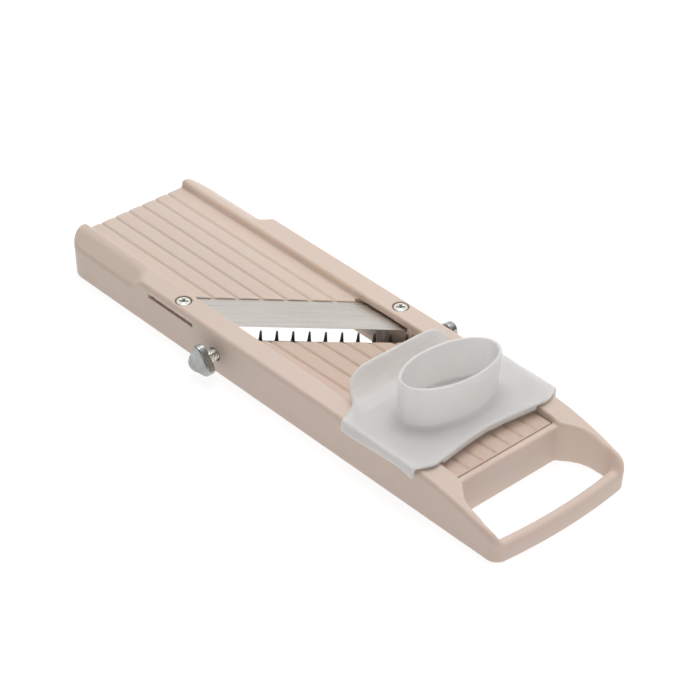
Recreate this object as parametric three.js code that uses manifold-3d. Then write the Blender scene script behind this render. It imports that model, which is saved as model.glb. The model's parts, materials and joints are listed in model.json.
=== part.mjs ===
// Mandoline slicer with an adjustable feed plate, a fixed diagonal blade, a julienne comb clamped by two
// side thumb screws, and a hand guard that rides on the rails.
// Millimetres, +Z up, +X towards the handle, -Y is the near side. Origin: centre of the footprint, on the table.
// Everything is drawn in bench coordinates (x from the head end, y from the near side) and shifted at the end.

import * as THREE from 'three';
import { mergeVertices } from 'three/addons/utils/BufferGeometryUtils.js';
import { ConvexGeometry } from 'three/addons/geometries/ConvexGeometry.js';
import Module from 'manifold-3d';

const wasm = await Module();
wasm.setup();

// ---------------------------------------------------------------- driving dimensions
const LENGTH = 316;            // head end to the middle of the handle bar
const WIDTH = 92;              // across the rails, without the thumb screws
const RAIL_TOP = 25.3;         // rails above the table
const RAIL_W = 13.5;           // each rail, outer wall to inner wall
const DRAFT = 1.75;            // each outer wall leans in by this much at the table
const DECK_Z = 20.9;           // crest of the run-out deck's ribs
const GROOVE_PITCH = 9.04;     // the deck's and the feed plate's grooves
const GROOVE_DEPTH = 0.6;
const WALL = 3;                // general wall of the moulding
const DIAG = 0.924;            // the blade's lean: x grows by this much for each mm of y
const BLADE_S0 = 70.5;         // blade's back edge where it would meet y = 0
const BLADE_S1 = 101.7;        // blade's cutting edge there
const BLADE_TOP = 20.2;
const BLADE_T = 1.15;
const SLIT = [67.2, 103, 21.0];  // the slit in the rails: start, end and top
const SCREW_NEAR = [89.1, 6.3];
const SCREW_FAR = [163.2, 85.7];
const COMB_S = 110;            // the comb's mid plane on that same scale
const PLATE_S = 113.5;         // feed plate's front edge
const PLATE_END = 274.0;       // feed plate's handle end
const CROSS_X0 = 274.5;        // cross wall behind the feed plate
const CROSS_X1 = 278;
const HINGE_X = 269;           // feed plate's hinge rod
const HINGE_Z = 16.8;
const PLATE_TILT = 0.02177;    // slope of the feed plate at its stored setting
const PLATE_T = 2.5;
const ADJ_X = 204;             // thickness adjuster
const SIDE_Z = 11.3;           // thumb screws' axis height
const SIDE_X_NEAR = 119.3;
const SIDE_X_FAR = 182.4;
const GAP = 0.3;               // clearance kept between pieces that touch

const MID = WIDTH / 2;
const Y0 = RAIL_W;             // inner faces of the rails
const Y1 = WIDTH - RAIL_W;

// ---------------------------------------------------------------- helpers
function solid(geometry) {
  let g = geometry.clone();
  g.deleteAttribute('normal');
  g.deleteAttribute('uv');
  g = mergeVertices(g, 1e-4);
  return new wasm.Manifold(new wasm.Mesh({
    numProp: 3,
    vertProperties: new Float32Array(g.attributes.position.array),
    triVerts: new Uint32Array(g.index.array),
  }));
}
function geometryOf(manifold) {
  const m = manifold.getMesh();
  const g = new THREE.BufferGeometry();
  g.setAttribute('position', new THREE.BufferAttribute(new Float32Array(m.vertProperties), 3));
  g.setIndex(new THREE.BufferAttribute(new Uint32Array(m.triVerts), 1));
  return g;
}
const union = (list) => list.reduce((a, b) => a.add(b));
const cut = (a, ...tools) => tools.reduce((s, t) => s.subtract(t), a);

function extruded(points, depth) {
  const shape = new THREE.Shape(points.map(([a, b]) => new THREE.Vector2(a, b)));
  return new THREE.ExtrudeGeometry(shape, { depth, bevelEnabled: false, steps: 1 });
}
const prismZ = (pts, z0, z1) => solid(extruded(pts, z1 - z0).translate(0, 0, z0));
const prismX = (ptsYZ, x0, x1) => solid(extruded(ptsYZ, x1 - x0).applyMatrix4(
  new THREE.Matrix4().set(0, 0, 1, x0, 1, 0, 0, 0, 0, 1, 0, 0, 0, 0, 0, 1)));
const prismY = (ptsXZ, y0, y1) => solid(extruded(ptsXZ, y1 - y0).applyMatrix4(
  new THREE.Matrix4().set(1, 0, 0, 0, 0, 0, -1, y1, 0, 1, 0, 0, 0, 0, 0, 1)));
// a section in (s, z) swept along the blade's diagonal, from y0 to y1
const prismDiag = (ptsSZ, y0, y1) => solid(extruded(ptsSZ, y1 - y0).applyMatrix4(
  new THREE.Matrix4().set(1, 0, 0, 0, 0, 0, -1, y1, 0, 1, 0, 0, 0, 0, 0, 1)).applyMatrix4(
  new THREE.Matrix4().set(1, DIAG, 0, 0, 0, 1, 0, 0, 0, 0, 1, 0, 0, 0, 0, 1)));
const box = (x0, x1, y0, y1, z0, z1) =>
  solid(new THREE.BoxGeometry(x1 - x0, y1 - y0, z1 - z0).translate((x0 + x1) / 2, (y0 + y1) / 2, (z0 + z1) / 2));
const cylZ = (x, y, r, z0, z1, n = 24) =>
  solid(new THREE.CylinderGeometry(r, r, z1 - z0, n).rotateX(Math.PI / 2).translate(x, y, (z0 + z1) / 2));
const cylY = (x, z, r, y0, y1, n = 24) =>
  solid(new THREE.CylinderGeometry(r, r, y1 - y0, n).translate(x, (y0 + y1) / 2, z));
const hull = (pts) => solid(new ConvexGeometry(pts.map((p) => new THREE.Vector3(...p))));
function latheZ(profile, x, y, n = 32) {     // profile [r, z], from axis to axis or closed on itself
  return solid(new THREE.LatheGeometry(profile.map(([r, z]) => new THREE.Vector2(r, z)), n)
    .rotateX(Math.PI / 2).translate(x, y, 0));
}
const tube = (x, y, r0, r1, z0, z1, n = 24) => cut(cylZ(x, y, r1, z0, z1, n), cylZ(x, y, r0, z0 - 1, z1 + 1, n));
function arc(cx, cy, r, a0, a1, n) {
  const out = [];
  for (let i = 0; i <= n; i++) {
    const a = (a0 + (a1 - a0) * i / n) * Math.PI / 180;
    out.push([cx + r * Math.cos(a), cy + r * Math.sin(a)]);
  }
  return out;
}
const mirrorY = (pts) => pts.map(([a, b]) => [a, WIDTH - b]).reverse();

// ribbed top surface across the channel: crests at z, V grooves between them
function ribbed(z, yLow, yHigh) {
  const pts = [[yLow, z]];
  for (let k = -3; k <= 2; k++) {
    const g = MID + (k + 0.5) * GROOVE_PITCH;
    pts.push([g - 1.1, z], [g, z - GROOVE_DEPTH], [g + 1.1, z]);
  }
  pts.push([yHigh, z]);
  return pts;
}

// ---------------------------------------------------------------- body frame (one moulding)
const railTop = [[250, 25.3], [257, 25.1], [264, 24.7], [273, 23.8], [280, 22.6], [286.5, 21.3], [293, 19.8],
  [300, 17.9], [303, 17.1], [306, 16.1], [308, 15.1], [310.5, 13.6], [312.2, 11.9], [313.8, 9.8], [315.2, 8.2], [LENGTH, 6.2], [LENGTH, 2.0], [315.4, 0.7], [314.4, 0]];
function bodyFrame() {
  const section = [[DRAFT + 1, 0], ...arc(WIDTH - 1 - DRAFT, 1, 1, -90, 0, 2),
    ...arc(WIDTH - 3.2, RAIL_TOP - 3.2, 3.2, 0, 90, 5), ...arc(3.2, RAIL_TOP - 3.2, 3.2, 90, 180, 5), [DRAFT, 1]];
  const side = [[3.2, 0], ...railTop.slice().reverse(), [2, 25.3], [0.6, 24.4], [0, 22], [0.6, 4], [1.5, 1.2]];
  const plan = [...arc(11, 11, 11, 180, 270, 6), ...arc(307.9, 5.5, 5.5, 270, 350, 5),
    [313.9, 9.5], [314.9, 20], [315.7, 32], [LENGTH, 46], [315.7, 60], [314.9, 72], [313.9, 82.5],
    ...arc(307.9, WIDTH - 5.5, 5.5, 10, 90, 5), ...arc(11, WIDTH - 11, 11, 90, 180, 6)];
  let body = prismX(section, -1, LENGTH + 1)
    .intersect(prismY(side, -1, WIDTH + 1))
    .intersect(prismZ(plan, -1, 40));

  // channel above the ribbed deck, and the throat under the blade and the feed plate
  const deck = ribbed(DECK_Z, Y0, Y1);
  body = cut(body,
    prismX([...deck, [Y1, 40], [Y0, 40]], -2, CROSS_X0 - 2),
    box(CROSS_X0 - 3, CROSS_X1 + 1, Y0, Y1, DECK_Z, 40),
    prismZ([[BLADE_S0 - 0.3 + DIAG * Y0, Y0], [CROSS_X0, Y0], [CROSS_X0, Y1], [BLADE_S0 - 0.3 + DIAG * Y1, Y1]], BLADE_TOP - BLADE_T - GAP, 40),
    prismZ([[82 + DIAG * Y0, Y0], [CROSS_X0, Y0], [CROSS_X0, Y1], [82 + DIAG * Y1, Y1]], -1, 40));

  // slit for the blade through both rails
  const zs = BLADE_TOP - BLADE_T - GAP;
  const slit = [[SLIT[0], zs], [SLIT[1], zs], [SLIT[1], SLIT[2]], [SLIT[0], SLIT[2]]];
  body = cut(body, prismDiag(slit, -2, Y0), prismDiag(slit, Y1, WIDTH + 2));

  // hollow underside of the head half, up to the ledge that carries the blade's back edge
  const s = 62;
  body = cut(body, prismZ([[3.6, 12], [6, 6], [12, 3.6 + DRAFT / 2], [s - 4, 3.6 + DRAFT / 2], [s + DIAG * Y0, Y0], [s + DIAG * Y1, Y1],
    [134, WIDTH - 3.6 - DRAFT / 2], [12, WIDTH - 3.6 - DRAFT / 2], [6, WIDTH - 6], [3.6, WIDTH - 12]], -1, 17.6));
  for (const side2 of [0, 1]) {
    const p = [[6, 4.4], [56, 4.4], [56, 10.2], [6, 10.2]];
    body = cut(body, prismZ(side2 ? mirrorY(p) : p, -1, 18.5));
  }
  // under the blade the ledge is shallow, so that slices fall away freely
  body = cut(body, prismDiag([[s, -1], [86, -1], [86, 11.5], [s, 11.5]], Y0, Y1));
  // stiffening ribs
  const ribs = [box(4, 66, MID - 1, MID + 1, 10, 18.4), box(34, 36, 4, WIDTH - 4, 8, 18.4)];
  body = union([body, ...ribs]);

  // rails of the handle half are channels open at the bottom
  const railHole = (x0, x1) => [[x0, 4.8], [x1, 4.8], [x1, 10.4], [x0, 10.4]];
  body = cut(body, prismZ(railHole(138, 258), -1, 22), prismZ(mirrorY(railHole(202, 258)), -1, 22));
  // coring under the blade seats
  body = cut(body, prismZ(railHole(66, 80), -1, 15), prismZ(mirrorY(railHole(139, 154)), -1, 15));

  // bridge for the thickness adjuster
  body = body.add(box(ADJ_X - 10, ADJ_X + 10, Y0 - 1.5, Y1 + 1.5, 6.6, 9.9));
  body = cut(body, cylZ(ADJ_X, MID, 4.8, 0, 12));

  // relief on the outer top edges at the head end, running out towards the blade
  const relief = [[-3, 15.8], [9.4, 25.35], [9.4, 31], [-3, 31]];
  const runOut = [[49.9, -3, 15.8], [49.9, 9.4, 25.35], [49.9, 9.4, 31], [49.9, -3, 31],
    [56.5, -3, 18.2], [56.5, 7, 25.35], [56.5, 7, 31], [56.5, -3, 31], [62.7, -3, 25.35], [62.7, 0.5, 25.4], [62.7, 0.5, 31], [62.7, -3, 31]];
  const tail = hull(runOut), tailFar = hull(runOut.map(([x, y, z]) => [x, WIDTH - y, z]));
  body = cut(body, prismX(relief, -2, 50), tail, prismX(mirrorY(relief.map(([a, b]) => [b, a])).map(([a, b]) => [b, a]), -2, 50), tailFar);

  // blade screws: recess, clearance bore and the pocket of the brass insert
  for (const [x, y] of [SCREW_NEAR, SCREW_FAR]) {
    body = cut(body, cylZ(x, y, 4.4, RAIL_TOP - 2.6, 40), cylZ(x, y, 2.6, 8, 30), cylZ(x, y, 3.9, -1, 15.2));
  }
  // thumb screws: pockets that hold the moulded-in brass bushes, clearance bores, then the comb's sockets
  body = cut(body, cylY(SIDE_X_NEAR, SIDE_Z, 5.3, 2.7, 9.2), cylY(SIDE_X_NEAR, SIDE_Z, 3.6, -2, 14),
    cylY(SIDE_X_FAR, SIDE_Z, 5.3, WIDTH - 9.2, WIDTH - 2.7), cylY(SIDE_X_FAR, SIDE_Z, 3.6, Y1 - 1, WIDTH + 2));
  const socket = [[COMB_S - 1.8, -1], [COMB_S + 1.8, -1], [COMB_S + 1.8, 18.2], [COMB_S - 1.8, 18.2]];
  body = cut(body, prismDiag(socket, Y0 - 1.9, Y0 + 1), prismDiag(socket, Y1 - 1, Y1 + 1.9));

  // blind holes for the feed plate's hinge rod
  body = cut(body, cylY(HINGE_X, HINGE_Z, 1.8, Y0 - 4, Y1 + 4, 16));

  // handle opening: starts at the cross wall, flares to thinner arms, ends at the bowed bar
  body = cut(body, prismZ([[CROSS_X1, Y0], [279.7, 12.7], [283.8, 9.2], [287.9, 6.7], [293, 5.5], [300, 5.3], [304.6, 5.3], [306.1, 5.9], [306.8, 7.4],
    [308.2, 20], [309, 32], [309.3, MID], [309, 60], [308.2, 72], [306.8, 84.6], [306.1, 86.1], [304.6, 86.7], [300, 86.7],
    [293, 86.5], [287.9, 85.3], [283.8, 82.8], [279.7, 79.3], [CROSS_X1, Y1]], -1, 40));
  // the bar between the arms is lower than their ends
  body = cut(body, hull([[303, MID - 38, 9.8], [303, MID + 38, 9.8], [319, MID - 38, 9.7], [319, MID + 38, 9.7],
    [303, MID - 42, 17], [303, MID + 42, 17], [319, MID - 42, 17], [319, MID + 42, 17]]));
  return body;
}

// ---------------------------------------------------------------- feed plate
// drawn level with its top at z = 0 and its hinge line at x = HINGE_X, then tilted about the hinge rod
const PLATE_TOP_AT_HINGE = 20.7 - 0.02177 * (PLATE_END - HINGE_X);
function feedPlate() {
  const yl = Y0 + 0.45, yh = Y1 - 0.45;
  const top = ribbed(0, yl, yh);
  const slab = prismX([[yl, -PLATE_T], [yh, -PLATE_T], ...top.slice().reverse()], 100, PLATE_END)
    .intersect(prismZ([[PLATE_S + DIAG * yl, yl], [PLATE_END, yl], [PLATE_END, yh], [PLATE_S + DIAG * yh, yh]], -20, 5));
  const skirt = (y) => prismY([[PLATE_S + DIAG * y + 3, -5.2], [262, -5.2], [262, -1], [PLATE_S + DIAG * y + 2, -1]], y - 1, y + 1);
  const lip = prismDiag([[PLATE_S + 3.5, -4.4], [PLATE_S + 6, -4.4], [PLATE_S + 6, -1], [PLATE_S + 3.5, -1]], yl + 1, yh - 1);
  const zr = PLATE_TOP_AT_HINGE - HINGE_Z;        // rod below the top
  const barrel = cylY(HINGE_X, -zr, 3, yl + 0.2, yh - 0.2, 20);
  const web = box(HINGE_X - 3, HINGE_X + 3, yl + 0.2, yh - 0.2, -zr, -1);
  // T slot under the plate for the adjusting screw's head, open towards the handle
  const boss = box(ADJ_X - 8, ADJ_X + 8, MID - 8, MID + 8, -5.9, -1);
  let p = union([slab, skirt(yl + 2), skirt(yh - 2), lip, barrel, web, boss,
    box(144, HINGE_X, MID - 22, MID - 20, -5, -1), box(184, HINGE_X, MID + 20, MID + 22, -5, -1)]);
  p = cut(p, cylY(HINGE_X, -zr, 1.8, 0, WIDTH, 16),
    box(ADJ_X - 5.2, ADJ_X + 9, MID - 5.2, MID + 5.2, -4.3, -PLATE_T),
    cylZ(ADJ_X, MID, 2.6, -7, -4), box(ADJ_X, ADJ_X + 9, MID - 2.6, MID + 2.6, -7, -4));
  // tilt: the front edge sits lower than the handle end
  const g = geometryOf(p);
  g.translate(-HINGE_X, 0, zr).rotateY(-Math.atan(PLATE_TILT)).translate(HINGE_X, 0, HINGE_Z);
  return g;
}

// ---------------------------------------------------------------- cutting parts
function mainBlade() {
  const t = BLADE_TOP, b = BLADE_TOP - BLADE_T;
  const blade = prismDiag([[BLADE_S0, b], [BLADE_S1 - 3.4, b], [BLADE_S1, t - 0.4], [BLADE_S1, t - 0.25], [BLADE_S1 - 10, t], [BLADE_S0, t]],
    1.6, WIDTH - 1.6);
  return cut(blade, cylZ(...SCREW_NEAR, 2.6, b - 1, t + 1), cylZ(...SCREW_FAR, 2.6, b - 1, t + 1));
}
function combBlade() {
  const h = 0.8;
  const parts = [prismDiag([[COMB_S - h, 8], [COMB_S + h, 8], [COMB_S + h, 15.6], [COMB_S - h, 15.6]], Y0 - 1.4, Y1 + 1.4)];
  for (let i = 0; i < 10; i++) {                       // knife teeth, flat along the feed direction
    const y = 21.7 + i * 5.92;
    const x = COMB_S + DIAG * y;
    parts.push(prismY([[x - 1.3, 15.3], [x + 1.4, 15.3], [x + 1.2, 16.4], [x + 0.8, 17.4], [x + 0.7, 22], [x - 0.1, 22], [x - 0.6, 17.4], [x - 1.1, 16.4]], y - 0.35, y + 0.35));
  }
  return union(parts);
}

// ---------------------------------------------------------------- fasteners
function bladeScrew(x, y) {                           // round crossed head, drawn down into its recess
  const z = RAIL_TOP - 2.3;
  let s = latheZ([[0, 9.2], [2.0, 9.2], [2.0, z], [3.6, z], [3.65, z + 0.5], [3.65, z + 1.9], [3.2, z + 2.1], [2.0, z + 2.17], [0, z + 2.2]], x, y, 24);
  return cut(s, box(x - 2, x + 2, y - 0.4, y + 0.4, z + 1, z + 4), box(x - 0.4, x + 0.4, y - 2, y + 2, z + 1, z + 4));
}
const bladeInsert = (x, y) => tube(x, y, 2.3, 3.6, 8.6, 14.9, 20);
function sideBush(x, far) {
  const b = cut(cylY(x, SIDE_Z, 5.0, 3.0, 8.9, 24), cylY(x, SIDE_Z, 3.3, -1, 9.9, 24));
  return far ? mirrored(b) : b;
}
function mirrored(m) {                                // the same piece on the far side
  const g = geometryOf(m);
  const p = g.attributes.position;
  for (let i = 0; i < p.count; i++) p.setY(i, WIDTH - p.getY(i));
  const idx = g.index.array;
  for (let i = 0; i < idx.length; i += 3) { const t = idx[i]; idx[i] = idx[i + 1]; idx[i + 1] = t; }
  return solid(g);
}
function sideStud(x, far) {
  const prof = [[0, -8.2], [2.6, -8.2], [3.0, -7.6], [3.0, 9.6], [2.4, 11.2], [0, 11.2]];
  const s = solid(new THREE.LatheGeometry(prof.map(([r, y]) => new THREE.Vector2(r, y)), 20).translate(x, 0, SIDE_Z));
  return far ? mirrored(s) : s;
}
function sideHead(x, far, lobe) {                     // thumb knob of three lobes, one of them at the angle `lobe`
  const pts = [];
  const n = 48;
  for (let i = 0; i < n; i++) {
    const a = i / n * 2 * Math.PI;
    const r = 7.5 + 1.6 * Math.cos(3 * (a - lobe));
    pts.push([x + r * Math.cos(a), SIDE_Z + r * Math.sin(a)]);
  }
  let s = prismY(pts, -10.2, -5.6);
  s = cut(s, cylY(x, SIDE_Z, 3.3, -8.6, -5, 20));
  return far ? mirrored(s) : s;
}

// ---------------------------------------------------------------- thickness adjuster
const adjustingScrew = () => latheZ([[0, 2.9], [2.4, 2.9], [2.4, 5.4], [3, 5.8], [3, 11.9], [1.9, 11.9], [1.9, 15.25], [4.2, 15.25],
  [4.2, 16.35], [0, 16.35]], ADJ_X, MID, 20);
function adjustingKnob() {
  const pts = [];
  const n = 60;
  for (let i = 0; i < n; i++) {
    const a = i / n * 2 * Math.PI;
    const r = 11.2 + 0.55 * Math.cos(12 * a);
    pts.push([ADJ_X + r * Math.cos(a), MID + r * Math.sin(a)]);
  }
  return cut(prismZ(pts, 2.1, 5.3), cylZ(ADJ_X, MID, 2.7, 2.6, 6, 20));
}
const adjusterBush = () => tube(ADJ_X, MID, 3.3, 4.5, 6.4, 10.1, 20);
const adjusterWasher = () => tube(ADJ_X, MID, 2.2, 4.0, 12.2, 12.9, 24);

// ---------------------------------------------------------------- hand guard
const G = { top: 27.3, under: 25.7, rim: 50, cx: 236.3, a: 15.35, b: 29.2, turn: -0.071, wall: 2 };
function ellipse(a, b, n = 48) {
  const out = [];
  for (let i = 0; i < n; i++) {
    const t = i / n * 2 * Math.PI;
    const u = a * Math.cos(t), v = b * Math.sin(t);
    out.push([G.cx + u * Math.cos(G.turn) - v * Math.sin(G.turn), MID + u * Math.sin(G.turn) + v * Math.cos(G.turn)]);
  }
  return out;
}
function handGuard() {
  const half = [[212.5, -0.6], [214, -2.6], [260.6, -2.6], [262.4, -1.4], [264.6, 4], [266.2, 9], [265.9, 13], [265.2, 16], [264.4, 22], [262.8, 34], [262, 46]];
  const outline = [...half, ...half.slice(0, -1).reverse().map(([x, y]) => [x, WIDTH - y]), [209, 84], [208, 76], [208, 16], [209, 8]];
  const plate = prismZ(outline, G.under, G.top);
  const skirtProfile = [[213.2, 21.4], [228, 21.4], [241, 22.3], [252, 22.7], [257, 22.2], [260, 21.2], [261, 26], [261, 27.2], [213.2, 27.2]];
  const skirtNear = prismY(skirtProfile, -2.6, -0.8), skirtFar = prismY(skirtProfile, WIDTH + 0.8, WIDTH + 2.6);
  // shield along the head side: curls up and leans towards the head
  const outer = [[215, 25.7], [210, 25.8], [205.5, 27.2], [202, 30], [199.7, 34], [198.6, 38], [198.5, 39.5]];
  const inner = [[200.3, 39.5], [200.5, 38.2], [201.4, 35], [203.5, 31.3], [206.6, 28.6], [210.4, 27.3], [215, 27.3]];
  const face = [[10.5, 25], [81.5, 25], [81.3, 27], [80, 28.5], [79, 30], [78.2, 32], [77, 34.3], [74.7, 36.3], [72, 37.9], [69, 38.9], [65, 39.4], [46, 39.6],
    [27, 39.4], [23, 38.9], [20, 37.9], [17.3, 36.3], [15, 34.3], [13.8, 32], [13, 30], [12, 28.5], [10.7, 27]];
  const wing = prismY([...outer, ...inner], 8, 84).intersect(prismX(face, 190, 220));
  const ringWall = cut(prismZ(ellipse(G.a, G.b), G.under + 0.2, G.rim), prismZ(ellipse(G.a - G.wall, G.b - G.wall), G.top, G.rim + 1));
  const guide = (y0, y1) => box(212, 262.5, y0, y1, 23.3, 26);
  const endLip = prismZ([[263, 14.2], [265, 14.2], [264.2, 22], [262.6, 34], [261.8, 46], [262.6, 58], [264.2, 70], [265, 77.8],
    [263, 77.8], [262.2, 70], [260.6, 58], [259.8, 46], [260.6, 34], [262.2, 22]], 23.3, 26);
  const parts = [plate, skirtNear, skirtFar, wing, ringWall, guide(14.2, 16), guide(76, 77.8), endLip];
  for (const [ix, iy] of [[-6, -16], [6, -16], [0, -9], [-7, -3], [7, -3], [0, 4], [-7, 10], [7, 10], [0, 17], [0, -22], [0, 23]]) {
    parts.push(solid(new THREE.ConeGeometry(1.5, 3.0, 8).rotateX(-Math.PI / 2).translate(G.cx + ix, MID + iy, 24.5)));
  }
  return union(parts);
}

// ---------------------------------------------------------------- assembly
const cream = new THREE.MeshStandardMaterial({ color: 0xe6d3c4, roughness: 0.5, metalness: 0 });
const creamPlate = new THREE.MeshStandardMaterial({ color: 0xdcbfac, roughness: 0.5, metalness: 0 });
const steel = new THREE.MeshStandardMaterial({ color: 0xc6c5c0, roughness: 0.3, metalness: 1 });
const darkSteel = new THREE.MeshStandardMaterial({ color: 0x6d6862, roughness: 0.35, metalness: 1 });
const chrome = new THREE.MeshStandardMaterial({ color: 0xd0d2d2, roughness: 0.15, metalness: 1 });
const castMetal = new THREE.MeshStandardMaterial({ color: 0xa9aaa8, roughness: 0.45, metalness: 1 });
const brass = new THREE.MeshStandardMaterial({ color: 0xb89a58, roughness: 0.35, metalness: 1 });
const frosted = new THREE.MeshStandardMaterial({ color: 0xe2e0de, roughness: 0.45, metalness: 0 });

const group = new THREE.Group();
const shift = new THREE.Group();
shift.position.set(-LENGTH / 2, -MID, 0);
group.add(shift);
function put(name, shape, material) {
  const g = shape instanceof THREE.BufferGeometry ? shape : geometryOf(shape);
  const mesh = new THREE.Mesh(g, material);
  mesh.name = name;
  shift.add(mesh);
}

put('body_frame', bodyFrame(), cream);
put('feed_plate', feedPlate(), creamPlate);
put('hinge_rod', cylY(HINGE_X, HINGE_Z, 1.5, Y0 - 3.6, Y1 + 3.6, 16), steel);
put('main_blade', mainBlade(), steel);
put('blade_screw_near', bladeScrew(...SCREW_NEAR), steel);
put('blade_screw_far', bladeScrew(...SCREW_FAR), steel);
put('blade_insert_near', bladeInsert(...SCREW_NEAR), brass);
put('blade_insert_far', bladeInsert(...SCREW_FAR), brass);
put('comb_blade', combBlade(), darkSteel);
put('side_bush_near', sideBush(SIDE_X_NEAR, false), brass);
put('side_bush_far', sideBush(SIDE_X_FAR, true), brass);
put('side_screw_stud_near', sideStud(SIDE_X_NEAR, false), chrome);
put('side_screw_stud_far', sideStud(SIDE_X_FAR, true), chrome);
put('side_screw_head_near', sideHead(SIDE_X_NEAR, false, 1.75), castMetal);
put('side_screw_head_far', sideHead(SIDE_X_FAR, true, 1.19), castMetal);
put('adjusting_screw', adjustingScrew(), steel);
put('adjusting_knob', adjustingKnob(), castMetal);
put('adjuster_bush', adjusterBush(), brass);
put('adjuster_washer', adjusterWasher(), steel);
put('hand_guard', handGuard(), frosted);

export default group;
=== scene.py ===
# Looks of the mandoline slicer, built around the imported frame.
# Curved mouldings are made from distance functions in bench millimetres (x from the head end, y from the near side),
# meshed on a fitted grid, and moved to the row frame.
import bpy, bmesh, json, math
import numpy as np
from mathutils import Matrix, Vector

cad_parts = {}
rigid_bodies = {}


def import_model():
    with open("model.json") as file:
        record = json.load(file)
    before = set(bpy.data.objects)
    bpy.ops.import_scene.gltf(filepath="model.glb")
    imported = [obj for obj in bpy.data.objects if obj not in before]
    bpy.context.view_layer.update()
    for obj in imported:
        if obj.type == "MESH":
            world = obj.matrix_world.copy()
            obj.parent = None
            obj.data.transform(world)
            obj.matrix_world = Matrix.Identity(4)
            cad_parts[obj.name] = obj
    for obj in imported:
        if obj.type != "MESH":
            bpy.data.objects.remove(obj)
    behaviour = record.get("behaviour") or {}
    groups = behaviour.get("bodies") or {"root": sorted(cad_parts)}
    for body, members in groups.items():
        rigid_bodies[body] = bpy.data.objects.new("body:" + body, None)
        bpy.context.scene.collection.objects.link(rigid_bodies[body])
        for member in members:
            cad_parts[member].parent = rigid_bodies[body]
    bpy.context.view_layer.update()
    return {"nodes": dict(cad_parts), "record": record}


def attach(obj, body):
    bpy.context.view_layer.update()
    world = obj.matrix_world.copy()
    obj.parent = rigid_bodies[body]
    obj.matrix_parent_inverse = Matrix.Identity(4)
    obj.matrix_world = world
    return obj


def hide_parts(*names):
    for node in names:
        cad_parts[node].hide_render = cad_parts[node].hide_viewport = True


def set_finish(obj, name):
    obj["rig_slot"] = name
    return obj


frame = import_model()

SX, SY = 158.0, 46.0
MID, WIDTH, LENGTH = 46.0, 92.0, 316.0
DIAG, CD = 0.924, 0.7345
RAIL_TOP, DECK_Z, PITCH = 25.3, 20.9, 9.04
HINGE_X, HINGE_Z, PLATE_END, PLATE_S, SLOPE = 269.0, 16.8, 274.1, 113.5, 0.02177

# ------------------------------------------------------------------ distance function tools
def rmax(a, b, r):                 # intersection with a round edge
    return np.minimum(np.maximum(a, b), -r) + np.hypot(np.maximum(r + a, 0), np.maximum(r + b, 0))
def rmin(a, b, r):                 # union with a round fillet
    return np.maximum(np.minimum(a, b), r) - np.hypot(np.maximum(r - a, 0), np.maximum(r - b, 0))
def rcut(a, b, r):                 # a without b, round edge
    return rmax(a, -b, r)
def smooth(a, b, t):
    u = np.clip((t - a) / (b - a), 0, 1)
    return u * u * (3 - 2 * u)
def slab(v, lo, hi):
    return np.maximum(lo - v, v - hi)
def box3(x, y, z, x0, x1, y0, y1, z0, z1):
    return np.maximum(np.maximum(slab(x, x0, x1), slab(y, y0, y1)), slab(z, z0, z1))
def spline(points, sigma, lo, hi, n=4001):
    xs = np.linspace(lo, hi, n)
    ys = np.interp(xs, *zip(*points))
    k = np.arange(-int(4 * sigma / (xs[1] - xs[0])), int(4 * sigma / (xs[1] - xs[0])) + 1) * (xs[1] - xs[0])
    w = np.exp(-0.5 * (k / sigma) ** 2); w /= w.sum()
    ys = np.convolve(np.pad(ys, len(k) // 2, mode="edge"), w, mode="valid")
    return lambda t: np.interp(t, xs, ys)
def grid(*parts):                  # (start, end, step), ...
    out = []
    for a, b, s in parts:
        n = max(1, int(round((b - a) / s)))
        out += list(np.linspace(a, b, n + 1)[:-1])
    out.append(parts[-1][1])
    return np.array(out)

OFFS = [(i, j, k) for i in (0, 1) for j in (0, 1) for k in (0, 1)]
EDGES = [(a, b) for a in OFFS for b in OFFS if a < b and sum(abs(p - q) for p, q in zip(a, b)) == 1]

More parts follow.
